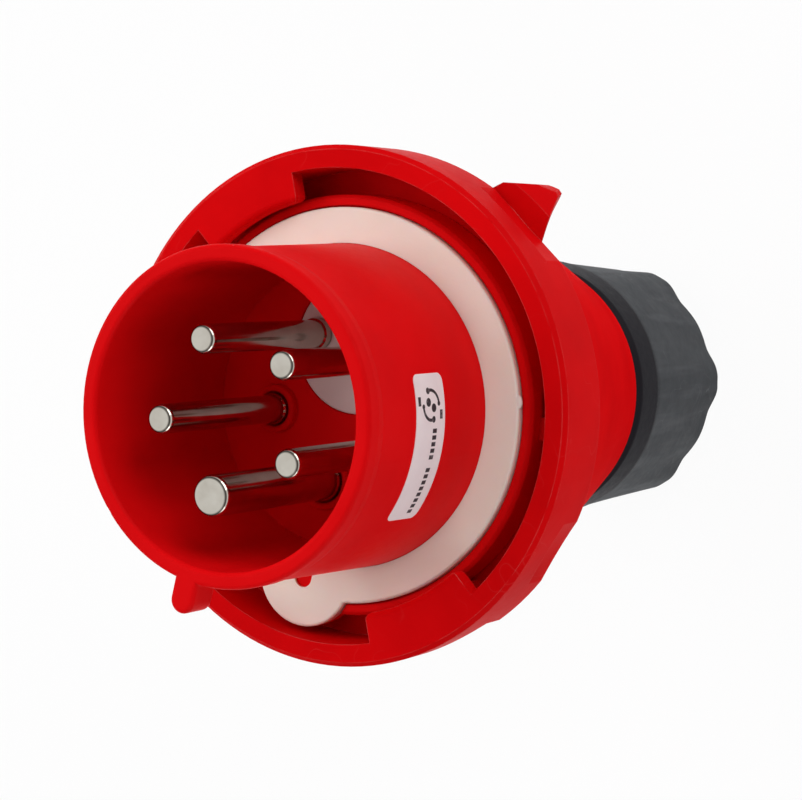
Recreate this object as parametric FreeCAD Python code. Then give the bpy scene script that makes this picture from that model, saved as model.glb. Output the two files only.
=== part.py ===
import FreeCAD, Part
import math
import os

# Industrial pin and sleeve plug, 16 A, three phases, neutral and earth, with a phase inverter.
# It stands on the end of its gland nut, pins up. The origin is on the plug's axis, in that end face.
# The earth pin and the key of the shroud lie towards -Y. All sizes are in millimetres.

V = FreeCAD.Vector
AXIS_Z = V(0, 0, 1)
AXIS_X = V(1, 0, 0)

# Stack along the axis
nut_length = 43.5
nut_gap = 0.4
body_length = 57.3
ring_gap = 0.3
ring_length = 15.5
lug_to_contact_face = 4.0
shroud_depth = 38.0

# Clearances
fit = 0.05
running = 0.3
slide_fit = 0.1

# Shroud and key
shroud_radius = 28.0
shroud_wall = 2.8
shroud_draft = 0.5
shroud_waist = 0.4
rim_bead_length = 3.0
rim_bead_runout = 2.0
rim_round = 0.8
key_half_width = 2.25
key_height = 5.5
key_length = 6.0
key_foot_half_width = 1.7
key_foot_drop = 0.5

# Flange, neck and spigot of the front housing
flange_lip = 2.2
flange_thickness = 7.0
flange_drop = 0.6
flange_chamfer = 0.6
flange_core_depth = 3.2
flange_rim = 2.4
neck_step = 1.8
spigot_step = 1.8
spigot_wall = 3.0
spigot_length = 14.0
lock_screw_drop = 10.5
neck_seat = 2.2
contact_plate = 8.0

# Face gasket
gasket_width = 6.3
gasket_thickness = 2.2
gasket_recess = 1.2
gasket_lobe_radius = 9.3
gasket_round = 0.5

# Pins
pin_circle = 13.5
pin_count = 5
phase_radius = 2.5
earth_radius = 3.5
pin_setback = 1.8
tip_round = 1.0
pin_shoulder = 0.3
pin_shoulder_length = 2.0
pin_flange_extra = 1.4
inverter_pin_flange_extra = 1.1
pin_flange_thickness = 2.0
terminal_extra = 0.7
terminal_length = 19.0
conductor_radius = 1.9
earth_conductor_radius = 2.4
conductor_depth = 11.0
collar_wall = 1.2
collar_gap = 0.6
collar_height = 1.6
collar_recess = 1.0

# Terminal screws
screw_radius = 1.5
screw_head_radius = 2.7
screw_head = 1.8
screw_slot = 0.8
screw_from_end = 5.0

# Phase inverter
inverter_radius = 12.0
inverter_lip = 1.2
inverter_lip_thickness = 2.4
inverter_flange_thickness = 3.0
inverter_tube_wall = 1.8
inverter_hub_drop = 3.3
pressure_ring_thickness = 1.6
pressure_ring_width = 1.3
ear_width = 3.0
ear_reach = 1.0
spring_wire = 0.5
spring_turns = 3
spring_length = 10.0
keeper_thickness = 1.5
keeper_lip = 0.4
keeper_rib = 0.5
keeper_rib_height = 0.8
driver_slot_width = 1.6
driver_slot_length = 8.0
driver_slot_depth = 1.6
index_notch = 0.7

# Terminal carrier
carrier_thickness = 2.5
carrier_screw_bite = 4.0
boss_radius = 3.4
boss_gap = 3.5
boss_y = 8.0

# Locking ring
bayonet_gap = 4.5
ring_wall = 4.0
ring_rear_draft = 2.0
ring_chamfer = 0.8
ring_rear_slope = 2.6
lug_reach = 5.2
lug_thickness = 3.2
lug_round = 1.2
lug_half_angle = 15.5
lug_angle = -49.05
ring_turn = 45.0
stop_angle = 9.85
stop_half_angle = 3.0
stop_reach = 2.4
stop_height = 3.8
scoop_depth = 1.6
scoop_radius = 55.0
scoop_band = 6.0
scoop_bevel = 2.0
scoop_angles = (59.65, -51.05, -18.05)
narrow_scoop_radius = 30.0
narrow_scoop_depth = 1.1
wing_root_gap = 1.8
wing_length = 6.8
wing_overlap = 0.9
wing_height = 8.2
wing_angle = 60.2
wing_gentle = 14.0
wing_steep = 5.6
wing_lean = 5.5
wing_front_bevel = 3.0
wing_rear_bevel = 1.5

# Rear body
body_shoulder_wall = 5.8
body_shoulder_length = 4.0
body_end_step = 0.1
body_wall = 3.0
body_round = 1.2
collar_wall_thickness = 3.7
cage_play = 1.6
collar_length = 27.0
cable_step = 5.0
bush_seat = 0.8
lock_screw_radius = 2.0
lock_screw_head = 3.6
lock_screw_head_height = 1.8
lock_screw_sink = 1.4
lock_screw_angle = 215.0

# Body seal
seal_groove = 2.0
seal_gap = 0.04
seal_from_neck = 4.0

# Gland
nut_wall = 5.3
nut_band = 9.0
nut_front_draft = 0.4
nut_grip_step = 0.1
nut_valley_step = 0.15
nut_grip_draft = 1.75
nut_crest_draft = 0.6
nut_swell = 0.15
nut_round = 2.0
rib_count = 6
rib_angle = 16.0
rib_crest_half = 3.5
rib_foot_half = 17.0
rib_steps = 15
nut_hole_gap = 1.2
nut_floor = 5.0
nut_seat_step = 0.5
washer_thickness = 2.0
bush_bore = 8.8
bush_wall = 4.0
bush_flare = 1.2
bush_flare_length = 4.0
bush_groove = 0.9
bush_groove_count = 6
cage_wall = 2.4
cage_ring = 5.0
cage_finger_count = 8
cage_slot = 2.0

# Heights worked out from the stack
nut_front = nut_length
body_rear = nut_front + nut_gap
body_front = body_rear + body_length
ring_rear = body_front + ring_gap
ring_front = ring_rear + ring_length
contact_face = ring_front - lug_to_contact_face
rim = contact_face + shroud_depth
flange_front = contact_face - flange_drop
flange_rear = flange_front - flange_thickness
recess_floor = flange_front - gasket_recess
neck_end = body_front - neck_seat
spigot_end = neck_end - spigot_length
plate_rear = contact_face - contact_plate
pin_tip = rim - pin_setback
seal_height = neck_end - seal_from_neck
lock_screw_height = neck_end - lock_screw_drop
seal_section = (seal_groove + fit) / 2 - seal_gap

# Radii worked out from the driving sizes, from the shroud outwards and from the cable outwards
shroud_bore = shroud_radius - shroud_wall
shroud_root_radius = shroud_radius + shroud_draft
shroud_waist_radius = shroud_radius - shroud_waist
gasket_radius = shroud_root_radius + gasket_width
flange_radius = gasket_radius + flange_lip
neck_radius = flange_radius - neck_step
spigot_radius = neck_radius - spigot_step
boss_x = spigot_radius - spigot_wall - boss_radius - boss_gap
ring_bore = flange_radius + bayonet_gap
ring_radius = ring_bore + ring_wall
ring_rear_radius = ring_radius - ring_rear_draft
lug_bore = ring_bore - lug_reach
body_shoulder_radius = neck_radius + body_shoulder_wall
wing_root = body_shoulder_radius + wing_root_gap
bush_radius = bush_bore + bush_wall
cable_passage = bush_radius - bush_seat
cage_bore = bush_radius + slide_fit
cage_radius = cage_bore + cage_wall
collar_inner = cage_radius + cage_play
collar_outer = collar_inner + collar_wall_thickness
nut_thread_radius = collar_outer + slide_fit
nut_radius = nut_thread_radius + nut_wall
nut_hole = bush_bore + nut_hole_gap
nut_seat_radius = collar_inner + nut_seat_step
nut_crest_front = nut_radius - nut_grip_step
nut_grip_front = nut_crest_front - nut_valley_step
nut_grip_rear = nut_grip_front - nut_grip_draft
nut_crest_rear = nut_radius - nut_crest_draft
body_end_radius = nut_radius - body_end_step
body_shoulder_end = body_front - body_shoulder_length
body_slope = (body_shoulder_radius - body_end_radius) / (body_shoulder_end - body_rear)
lock_screw_surface = body_shoulder_radius - body_slope * (body_shoulder_end - lock_screw_height)
lock_screw_seat = lock_screw_surface - lock_screw_sink - lock_screw_head_height

# Places of the key, the pins and the inverter's pieces
key_centre = shroud_radius + key_height - key_half_width
pin_step = 360.0 / pin_count
earth_angle = -90.0
half_step = math.radians(pin_step / 2)
inverter_y = pin_circle * math.cos(half_step)
inverter_pin_x = pin_circle * math.sin(half_step)
inverter_bore = inverter_radius + fit
inverter_flange_radius = inverter_radius + inverter_lip
inverter_counterbore = inverter_flange_radius + slide_fit
inverter_tube_radius = inverter_counterbore + inverter_tube_wall
inverter_lip_rear = contact_face - inverter_lip_thickness
inverter_flange_front = inverter_lip_rear - slide_fit
inverter_flange_rear = inverter_flange_front - inverter_flange_thickness
inverter_hub_end = inverter_flange_rear - inverter_hub_drop
pressure_ring_front = inverter_flange_rear - slide_fit
pressure_ring_rear = pressure_ring_front - pressure_ring_thickness
keeper_front = pressure_ring_rear - spring_length
keeper_rear = keeper_front - keeper_thickness
inverter_tube_end = keeper_rear - running


def annulus(outer, inner, low, high, centre=V(0, 0, 0)):
    """A tube with its axis along Z between two heights."""
    solid = Part.makeCylinder(outer, high - low, V(centre.x, centre.y, low), AXIS_Z)
    if inner > 0:
        solid = solid.cut(Part.makeCylinder(inner, high - low, V(centre.x, centre.y, low), AXIS_Z))
    return solid


def turned(points):
    """A solid of revolution from (radius, height) corners."""
    wire = Part.makePolygon([V(r, 0, z) for r, z in points] + [V(points[0][0], 0, points[0][1])])
    return Part.Face(wire).revolve(V(0, 0, 0), AXIS_Z, 360)


def polar(radius, degrees, height=0.0):
    """A point at a radius, an angle from +X and a height."""
    angle = math.radians(degrees)
    return V(radius * math.cos(angle), radius * math.sin(angle), height)


def sector(outer, inner, low, high, middle, half_angle):
    """A piece of a tube that spans an angle each side of its middle."""
    wedge = Part.makeCylinder(outer, high - low, V(0, 0, low), AXIS_Z, 2 * half_angle)
    wedge.rotate(V(0, 0, 0), AXIS_Z, middle - half_angle)
    return wedge.cut(Part.makeCylinder(inner, high - low, V(0, 0, low), AXIS_Z))


def rounded(shape, radius, keep):
    """Fillets the edges that keep() accepts."""
    return shape.makeFillet(radius, [edge for edge in shape.Edges if keep(edge)])


def circle_at(radius, height, tolerance=0.02):
    """A test for whole circles of one radius at one height, on the main axis."""
    def test(edge):
        curve = edge.Curve
        if not isinstance(curve, Part.Circle):
            return False
        on_axis = abs(curve.Center.x) < tolerance and abs(curve.Center.y) < tolerance
        same = abs(curve.Radius - radius) < tolerance and abs(curve.Center.z - height) < tolerance
        return on_axis and same
    return test


def turned_about_z(shape, degrees):
    """A copy of a shape turned about the plug's axis."""
    copy = shape.copy()
    copy.rotate(V(0, 0, 0), AXIS_Z, degrees)
    return copy


def fixed_pin_places():
    """The fixed pins as (name, angle, radius, conductor radius)."""
    return (
        ("earth_pin", earth_angle, earth_radius, earth_conductor_radius),
        ("neutral_pin", earth_angle + pin_step, phase_radius, conductor_radius),
        ("line_1_pin", earth_angle - pin_step, phase_radius, conductor_radius),
    )


def inverter_pin_places():
    """The two pins on the inverter disc as (name, x)."""
    return (("line_2_pin", -inverter_pin_x), ("line_3_pin", inverter_pin_x))


def key_outline(half, low, high):
    """The key's rib in plan: a bar from the shroud's wall to a round tip of one half width."""
    tip_centre = key_centre + key_half_width - half
    tip = Part.makeCylinder(half, high - low, V(0, -tip_centre, low), AXIS_Z)
    root = tip_centre - (shroud_bore + shroud_wall / 2)
    bar = Part.makeBox(2 * half, root, high - low, V(-half, -tip_centre, low))
    return tip.fuse(bar)


def shroud_key():
    """The short key behind the rim, with the edges of its front and its rear end rounded."""
    key = key_outline(key_half_width, rim - key_length, rim)
    ends = [e for e in key.Edges if e.BoundBox.ZLength < fit]
    outer = [e for e in ends if e.CenterOfMass.y < -key_centre + fit]
    return key.makeFillet(rim_round * 0.9, outer)


def pin_collar(place, radius):
    """The raised round collar with a recess, where a fixed pin leaves the contact face."""
    inner = radius + collar_gap
    outer = inner + collar_wall
    collar = annulus(outer, inner, contact_face - fit, contact_face + collar_height, place)
    top = [e for e in collar.Edges if abs(e.BoundBox.ZMin - contact_face - collar_height) < fit]
    return collar.makeFillet(collar_wall * 0.4, top)


def front_housing():
    """Shroud, key, contact plate, flange, neck and spigot, moulded in one piece."""
    core_radius = flange_radius - flange_rim
    profile = [
        (0, contact_face), (shroud_bore, contact_face), (shroud_bore, rim), (shroud_radius, rim),
        (shroud_radius, rim - rim_bead_length),
        (shroud_waist_radius, rim - rim_bead_length - rim_bead_runout),
        (shroud_root_radius, flange_front), (shroud_root_radius, recess_floor),
        (gasket_radius + running, recess_floor), (gasket_radius + running, flange_front),
        (flange_radius - flange_chamfer, flange_front), (flange_radius, flange_front - flange_chamfer),
        (flange_radius, flange_rear), (neck_radius, flange_rear), (neck_radius, neck_end),
        (spigot_radius, neck_end), (spigot_radius, spigot_end),
        (spigot_radius - spigot_wall, spigot_end), (spigot_radius - spigot_wall, plate_rear),
        (0, plate_rear),
    ]
    body = turned(profile)
    body = rounded(body, rim_round, circle_at(shroud_radius, rim))
    body = rounded(body, rim_round, circle_at(shroud_bore, rim))
    # The flange grows a round lobe under the key, which carries the gasket's own lobe
    lobe_low = flange_rear + flange_core_depth
    lobe = annulus(gasket_lobe_radius, 0, lobe_low, recess_floor, V(0, -key_centre, 0))
    body = body.fuse(lobe)
    lip_gap = annulus(gasket_lobe_radius + running, 0, recess_floor, flange_front + fit,
                      V(0, -key_centre, 0))
    lip_gap = lip_gap.cut(annulus(core_radius, 0, recess_floor, flange_front + fit))
    body = body.cut(lip_gap)
    body = body.fuse(shroud_key())
    foot_end = recess_floor + gasket_thickness - key_foot_drop
    body = body.fuse(key_outline(key_foot_half_width, recess_floor - fit, foot_end))
    # Two stops on the flange's edge limit the turn of the locking ring
    for side in (0, 180):
        stop = sector(flange_radius + stop_reach, core_radius, flange_rear + running,
                      flange_rear + running + stop_height, stop_angle + side, stop_half_angle)
        body = body.fuse(stop)
    for x in (-boss_x, boss_x):
        boss_foot = plate_rear - pin_flange_thickness
        body = body.fuse(annulus(boss_radius, 0, boss_foot, plate_rear + fit, V(x, boss_y, 0)))
    centre = V(0, inverter_y, 0)
    body = body.fuse(annulus(inverter_tube_radius, 0, inverter_tube_end, plate_rear + fit, centre))
    body = body.cut(annulus(inverter_bore, 0, inverter_tube_end - 1, contact_face + 1, centre))
    body = body.cut(annulus(inverter_counterbore, 0, inverter_tube_end - 1, inverter_lip_rear, centre))
    body = body.cut(ear_bars(running, inverter_tube_end - 1, inverter_lip_rear))
    for name, angle, radius, bore in fixed_pin_places():
        place = polar(pin_circle, angle)
        body = body.fuse(pin_collar(place, radius))
        body = body.cut(annulus(radius + pin_shoulder + fit, 0, plate_rear - 1, contact_face + 1, place))
        recess = annulus(radius + collar_gap, 0, contact_face - collar_recess, contact_face + 1, place)
        body = body.cut(recess)
    body = body.cut(keeper_ring(fit, fit))
    body = body.cut(seal_space())
    lock_hole = lock_screw_bar(lock_screw_radius + fit, spigot_radius - spigot_wall - 1, spigot_radius + 1)
    body = body.cut(lock_hole)
    for x in (-boss_x, boss_x):
        hole = annulus(screw_radius + fit, 0, plate_rear - pin_flange_thickness - 1,
                       plate_rear + carrier_screw_bite, V(x, boss_y, 0))
        body = body.cut(hole)
    return body.removeSplitter()


def seal_space():
    """The ring-shaped groove in the spigot for the body seal."""
    half = seal_section + seal_gap
    inner = spigot_radius - seal_groove
    return annulus(spigot_radius + 1, inner, seal_height - half, seal_height + half)


def body_seal():
    """The round-section rubber ring between spigot and rear body."""
    radius = spigot_radius - seal_groove + seal_gap + seal_section
    return Part.makeTorus(radius, seal_section, V(0, 0, seal_height), AXIS_Z)


def lock_screw_bar(radius, inner, outer):
    """A radial cylinder on the locking screw's axis, between two distances from the plug's axis."""
    way = polar(1, lock_screw_angle)
    return Part.makeCylinder(radius, outer - inner, way * inner + V(0, 0, lock_screw_height), way)


def body_lock_screw():
    """The radial screw that locks the rear body on the front housing's spigot."""
    head_end = lock_screw_seat + lock_screw_head_height
    head = lock_screw_bar(lock_screw_head, lock_screw_seat, head_end)
    way = polar(1, lock_screw_angle)
    rim_edge = [e for e in head.Edges if abs(e.CenterOfMass.dot(way) - head_end) < fit]
    head = head.makeFillet(lock_screw_head_height / 3, rim_edge)
    slot = Part.makeBox(lock_screw_head_height, screw_slot, 2 * lock_screw_head + 1)
    slot_foot = lock_screw_height - lock_screw_head - 0.5
    slot.translate(V(head_end - lock_screw_head_height / 2, -screw_slot / 2, slot_foot))
    slot = turned_about_z(slot, lock_screw_angle)
    shank = lock_screw_bar(lock_screw_radius, spigot_radius - spigot_wall, lock_screw_seat + fit)
    return head.cut(slot).fuse(shank).removeSplitter()


def face_gasket():
    """The flat silicone ring round the shroud's root, with a lobe round the key."""
    high = recess_floor + gasket_thickness
    disc = annulus(gasket_radius, 0, recess_floor, high)
    disc = disc.fuse(annulus(gasket_lobe_radius, 0, recess_floor, high, V(0, -key_centre, 0)))
    disc = disc.removeSplitter()
    top = [e for e in disc.Edges if e.BoundBox.ZMin > high - fit]
    disc = disc.makeFillet(gasket_round, top)
    inside = annulus(shroud_root_radius + fit, 0, recess_floor - 1, high + 1)
    inside = inside.fuse(key_outline(key_foot_half_width + fit, recess_floor - 1, high + 1))
    return disc.cut(inside)


def contact_pin(place, radius, bore, rear, facing, flange_extra):
    """A contact pin: rounded tip, free length, thicker shank, seating flange and terminal barrel."""
    barrel = radius + terminal_extra
    shank = radius + pin_shoulder
    shoulder_end = contact_face + pin_shoulder_length
    low = rear - pin_flange_thickness - terminal_length
    profile = [
        (0, pin_tip), (radius, pin_tip), (radius, shoulder_end), (shank, shoulder_end - pin_shoulder),
        (shank, rear), (radius + flange_extra, rear),
        (radius + flange_extra, rear - pin_flange_thickness),
        (barrel, rear - pin_flange_thickness), (barrel, low), (bore, low),
        (bore, low + conductor_depth), (0, low + conductor_depth),
    ]
    pin = rounded(turned(profile), tip_round, circle_at(radius, pin_tip))
    pin.translate(place)
    start = V(place.x, place.y, low + screw_from_end)
    return pin.cut(Part.makeCylinder(screw_radius + fit, barrel + 1, start, facing))


def terminal_screw(place, radius, bore, rear, facing):
    """The slotted screw that clamps a conductor in a terminal barrel."""
    barrel = radius + terminal_extra
    height = rear - pin_flange_thickness - terminal_length + screw_from_end
    start = V(place.x, place.y, height) + facing * (bore * 0.5)
    shank = Part.makeCylinder(screw_radius, barrel - bore * 0.5 + slide_fit, start, facing)
    seat = V(place.x, place.y, height) + facing * (barrel + slide_fit)
    head = Part.makeCylinder(screw_head_radius, screw_head, seat, facing)
    cut_out = Part.makeBox(screw_head, 3 * screw_head_radius, screw_slot)
    cut_out.translate(V(screw_head / 2, -1.5 * screw_head_radius, -screw_slot / 2))
    cut_out.rotate(V(0, 0, 0), AXIS_Z, math.degrees(math.atan2(facing.y, facing.x)))
    cut_out.translate(seat)
    return shank.fuse(head).cut(cut_out).removeSplitter()


def inverter_disc():
    """The turning disc that carries two phase pins, with a driver slot and a rear flange."""
    centre = V(0, inverter_y, 0)
    disc = annulus(inverter_radius, 0, inverter_flange_rear, contact_face, centre)
    edge = [e for e in disc.Edges if e.BoundBox.ZMin > contact_face - fit]
    disc = disc.makeFillet(rim_round / 2, edge)
    disc = disc.fuse(annulus(inverter_flange_radius, 0, inverter_flange_rear, inverter_flange_front, centre))
    hub_radius = inverter_flange_radius - pressure_ring_width - running
    disc = disc.fuse(annulus(hub_radius, 0, inverter_hub_end, inverter_flange_rear + fit, centre))
    slot = Part.makeBox(driver_slot_width, driver_slot_length, driver_slot_depth + 1)
    slot_y = inverter_y - driver_slot_length / 2
    slot.translate(V(-driver_slot_width / 2, slot_y, contact_face - driver_slot_depth))
    disc = disc.cut(slot)
    mark = annulus(index_notch, 0, contact_face - index_notch, contact_face + 1,
                   V(0, inverter_y + inverter_radius, 0))
    disc = disc.cut(mark)
    for name, x in inverter_pin_places():
        place = V(x, inverter_y, 0)
        bore = phase_radius + pin_shoulder + fit
        disc = disc.cut(annulus(bore, 0, inverter_hub_end - 1, contact_face + 1, place))
    return disc.removeSplitter()


def ear_bars(clearance, low, high):
    """Two bars through the inverter's tube wall, for the pressure ring's ears and their grooves."""
    reach = inverter_flange_radius + ear_reach + clearance
    width = ear_width + 2 * clearance
    bar = Part.makeBox(2 * reach, width, high - low, V(-reach, inverter_y - width / 2, low))
    inner = inverter_flange_radius - pressure_ring_width / 2
    return bar.cut(annulus(inner, 0, low, high, V(0, inverter_y, 0)))


def pressure_ring():
    """The ring between spring and disc, kept from turning by two ears in the tube's grooves."""
    outer = inverter_flange_radius
    inner = outer - pressure_ring_width
    ring = annulus(outer, inner, pressure_ring_rear, pressure_ring_front, V(0, inverter_y, 0))
    return ring.fuse(ear_bars(0, pressure_ring_rear, pressure_ring_front)).removeSplitter()


def inverter_spring():
    """The coil spring that holds the inverter forward: round wire wound on an even helix."""
    radius = inverter_flange_radius - pressure_ring_width / 2
    low = keeper_front + spring_wire + slide_fit
    high = pressure_ring_rear - spring_wire - slide_fit
    pitch = (high - low) / spring_turns
    helix = Part.makeHelix(pitch, high - low, radius)
    helix.translate(V(0, inverter_y, low))
    section = Part.Wire(Part.makeCircle(spring_wire, V(radius, inverter_y, low), V(0, 1, 0)))
    coil = Part.Wire(helix.Edges).makePipeShell([section], True, True)
    return Part.Solid(coil) if coil.ShapeType != "Solid" else coil


def keeper_ring(side, ends):
    """The spring keeper's outside with its snap rib, grown by a clearance."""
    middle = (keeper_front + keeper_rear) / 2
    half = keeper_rib_height / 2 + ends
    outer = inverter_counterbore + keeper_rib + side
    return annulus(outer, 0, middle - half, middle + half, V(0, inverter_y, 0))


def spring_keeper():
    """The flat ring snapped into a groove at the tube's end, against which the spring rests."""
    centre = V(0, inverter_y, 0)
    inner = inverter_flange_radius - pressure_ring_width - keeper_lip
    keeper = annulus(inverter_counterbore - fit, 0, keeper_rear, keeper_front, centre)
    keeper = keeper.fuse(keeper_ring(0, 0))
    return keeper.cut(annulus(inner, 0, keeper_rear - 1, keeper_front + 1, centre)).removeSplitter()


def terminal_carrier():
    """The insulating plate behind the contacts, which spaces the three fixed terminals."""
    high = plate_rear - pin_flange_thickness
    low = high - carrier_thickness
    plate = annulus(spigot_radius - spigot_wall - running, 0, low, high)
    plate = plate.cut(annulus(inverter_tube_radius + running, 0, low - 1, high + 1, V(0, inverter_y, 0)))
    for name, angle, radius, bore in fixed_pin_places():
        place = polar(pin_circle, angle)
        plate = plate.cut(annulus(radius + terminal_extra + slide_fit, 0, low - 1, high + 1, place))
    for x in (-boss_x, boss_x):
        plate = plate.cut(annulus(screw_radius + fit, 0, low - 1, high + 1, V(x, boss_y, 0)))
    return plate.removeSplitter()


def carrier_screws():
    """The two screws that hold the terminal carrier to its bosses."""
    high = plate_rear - pin_flange_thickness - carrier_thickness
    screws = []
    for x in (-boss_x, boss_x):
        head = annulus(screw_head_radius, 0, high - screw_head, high, V(x, boss_y, 0))
        slot = Part.makeBox(2 * screw_head_radius + 1, screw_slot, screw_head / 2)
        slot.translate(V(x - screw_head_radius - 0.5, boss_y - screw_slot / 2, high - screw_head))
        head = head.cut(slot)
        shank_end = plate_rear + carrier_screw_bite - running
        shank = annulus(screw_radius, 0, high - fit, shank_end, V(x, boss_y, 0))
        screws.append(head.fuse(shank).removeSplitter())
    return Part.makeCompound(screws)


def wing_plan(height, lean):
    """The wing's outline at one height: a gentle flank, a blunt crest and a steep flank that leans."""
    corners = (
        (0.0, wing_gentle), (wing_height * 0.5, wing_gentle * 0.75),
        (wing_height * 0.87, wing_gentle * 0.35), (wing_height, lean * 0.5),
        (wing_height * 0.97, lean * 0.5 - 1.0), (wing_height * 0.12, lean - wing_steep),
        (0.0, lean - wing_steep),
    )
    points = [polar(wing_root + rise, wing_angle + offset, height) for rise, offset in corners]
    return Part.makePolygon(points + [points[0]])


def wing(side):
    """One grip wing behind the locking ring: a low fin with one gentle and one steep flank."""
    low = ring_rear + wing_overlap - wing_length
    high = ring_rear + wing_overlap
    tooth = Part.makeLoft([wing_plan(low, wing_lean), wing_plan(high, 0.0)], True, True)
    crest = wing_root + wing_height
    hull = turned([
        (0, low), (crest - wing_rear_bevel, low), (crest, low + wing_rear_bevel),
        (crest, high - wing_front_bevel), (crest - wing_front_bevel, high), (0, high),
    ])
    return turned_about_z(tooth.common(hull), side)


def grip_scoop(angle, radius, depth):
    """The cutter for one shallow hollow in the locking ring's outside, run out towards the front."""
    top = ring_front - scoop_band
    centre = ring_radius - depth + radius
    low = ring_rear - 1
    barrel = Part.makeCylinder(radius, top - scoop_bevel - low, V(centre, 0, low), AXIS_Z)
    foot = V(centre, 0, top - scoop_bevel)
    runout = Part.makeCone(radius, radius - depth - running, scoop_bevel, foot, AXIS_Z)
    corner = V(ring_radius / 2, -ring_radius / 2, low - 1)
    near = Part.makeBox(scoop_radius, ring_radius, top - low + 2, corner)
    return turned_about_z(barrel.fuse(runout).common(near), angle)


def bayonet_lug(angle):
    """One inner lug of the bayonet, with its inner edges rounded."""
    low = ring_front - lug_thickness
    lug = sector(ring_bore + running, lug_bore, low, ring_front, angle, lug_half_angle)
    limit = lug_bore + lug_round
    inner = [e for e in lug.Edges if all(math.hypot(v.X, v.Y) < limit for v in e.Vertexes)]
    return lug.makeFillet(lug_round, inner)


def locking_ring():
    """The bayonet ring: two inner lugs, six grip hollows, two wings and a rear wall that holds it on."""
    wall_front = flange_rear - running
    bore = neck_radius + running
    ring = turned([
        (ring_bore, ring_front), (ring_radius - ring_chamfer, ring_front),
        (ring_radius, ring_front - ring_chamfer), (ring_radius, ring_rear + ring_rear_slope),
        (ring_rear_radius, ring_rear), (bore, ring_rear), (bore, wall_front),
        (ring_bore, wall_front),
    ])
    for side in (0, 180):
        wide, low_wide, narrow = scoop_angles
        ring = ring.cut(grip_scoop(wide + side, scoop_radius, scoop_depth))
        ring = ring.cut(grip_scoop(low_wide + side, scoop_radius, scoop_depth))
        ring = ring.cut(grip_scoop(narrow + side, narrow_scoop_radius, narrow_scoop_depth))
    grown = ring_bore + running
    for side in (0, 180):
        ring = ring.fuse(bayonet_lug(lug_angle + side))
        gap_angle = math.degrees(running / ring_bore)
        first = stop_angle + side + 2 * stop_half_angle + gap_angle
        last = stop_angle + side - ring_turn - 2 * stop_half_angle - gap_angle
        for middle in (first, last):
            stop = sector(grown, flange_radius + 2 * running, wall_front - fit, wall_front + stop_height,
                          middle, stop_half_angle)
            ring = ring.fuse(stop)
        ring = ring.fuse(wing(side))
    return ring.removeSplitter()


def rear_body():
    """The tapered handle: shoulder behind the ring, hollow cone, and the collar for the gland."""
    outer = turned([
        (0, body_front), (body_shoulder_radius - body_round, body_front),
        (body_shoulder_radius, body_front - body_round), (body_shoulder_radius, body_shoulder_end),
        (body_end_radius, body_rear + body_round), (body_end_radius - body_round, body_rear),
        (collar_outer, body_rear), (collar_outer, body_rear - collar_length),
        (0, body_rear - collar_length),
    ])
    floor = body_rear + cable_step
    cone_top = spigot_radius - running
    cone_foot = body_end_radius + body_slope * cable_step - body_wall
    bend = body_rear + (cone_top + body_wall - body_end_radius) / body_slope
    cavity = turned([
        (0, body_front + 1), (neck_radius + fit, body_front + 1), (neck_radius + fit, neck_end),
        (spigot_radius + fit, neck_end), (spigot_radius + fit, spigot_end - running),
        (cone_top, spigot_end - running), (cone_top, bend), (cone_foot, floor), (0, floor),
    ])
    body = outer.cut(cavity)
    step = body_rear - cable_step
    body = body.cut(annulus(cable_passage, 0, step - 1, floor + 1))
    body = body.cut(annulus(collar_inner, 0, body_rear - collar_length - 1, step))
    body = body.cut(lock_screw_bar(lock_screw_radius + fit, spigot_radius - 1, lock_screw_seat + 1))
    body = body.cut(lock_screw_bar(lock_screw_head + slide_fit, lock_screw_seat, body_shoulder_radius + 1))
    return body.removeSplitter()


def ease(value, start, end):
    """A soft step: 0 up to the start, 1 from the end on."""
    share = min(max((value - start) / (end - start), 0.0), 1.0)
    return share * share * (3 - 2 * share)


def lobed_outline(height, valley, crest):
    """The nut's outline at one height: soft ribs with slightly swelling fields between them."""
    pitch = 360.0 / rib_count
    points = []
    for index in range(rib_count * rib_steps):
        angle = index * pitch / rib_steps
        away = abs((angle + pitch / 2) % pitch - pitch / 2)
        rib = 1 - ease(away, rib_crest_half, rib_foot_half)
        swell = nut_swell * ease(away, rib_foot_half, pitch / 2) * (crest - valley)
        points.append(polar(valley + swell + (crest - valley) * rib, rib_angle + angle, height))
    curve = Part.BSplineCurve()
    curve.interpolate(Points=points, PeriodicFlag=True)
    return Part.Wire(curve.toShape())


def gland_nut():
    """The cap nut of the cable gland: a plain front band that runs into a tapered grip with six ribs."""
    band_rear = nut_front - nut_band
    third = nut_round / 3
    grip = Part.makeLoft([
        lobed_outline(0, nut_grip_rear - nut_round, nut_crest_rear - nut_round),
        lobed_outline(third, nut_grip_rear - third, nut_crest_rear - third),
        lobed_outline(nut_round, nut_grip_rear, nut_crest_rear),
        lobed_outline(band_rear, nut_grip_front, nut_crest_front),
    ], True, True)
    band = turned([
        (0, band_rear), (nut_radius, band_rear), (nut_radius - nut_front_draft, nut_front - nut_round),
        (nut_radius - nut_front_draft - nut_round, nut_front), (0, nut_front),
    ])
    nut = grip.fuse(band)
    seat = nut_floor + washer_seat_drop()
    nut = nut.cut(turned([
        (0, -1), (nut_hole, -1), (nut_hole, nut_floor), (nut_seat_radius, nut_floor),
        (nut_seat_radius, seat), (nut_thread_radius, seat + nut_thread_radius - nut_seat_radius),
        (nut_thread_radius, nut_front + 1), (0, nut_front + 1),
    ]))
    return nut.removeSplitter()


def washer_seat_drop():
    """How far the washer's seat lies behind the collar's end, tightened."""
    return body_rear - collar_length - nut_floor - running - (nut_thread_radius - nut_seat_radius)


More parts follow.
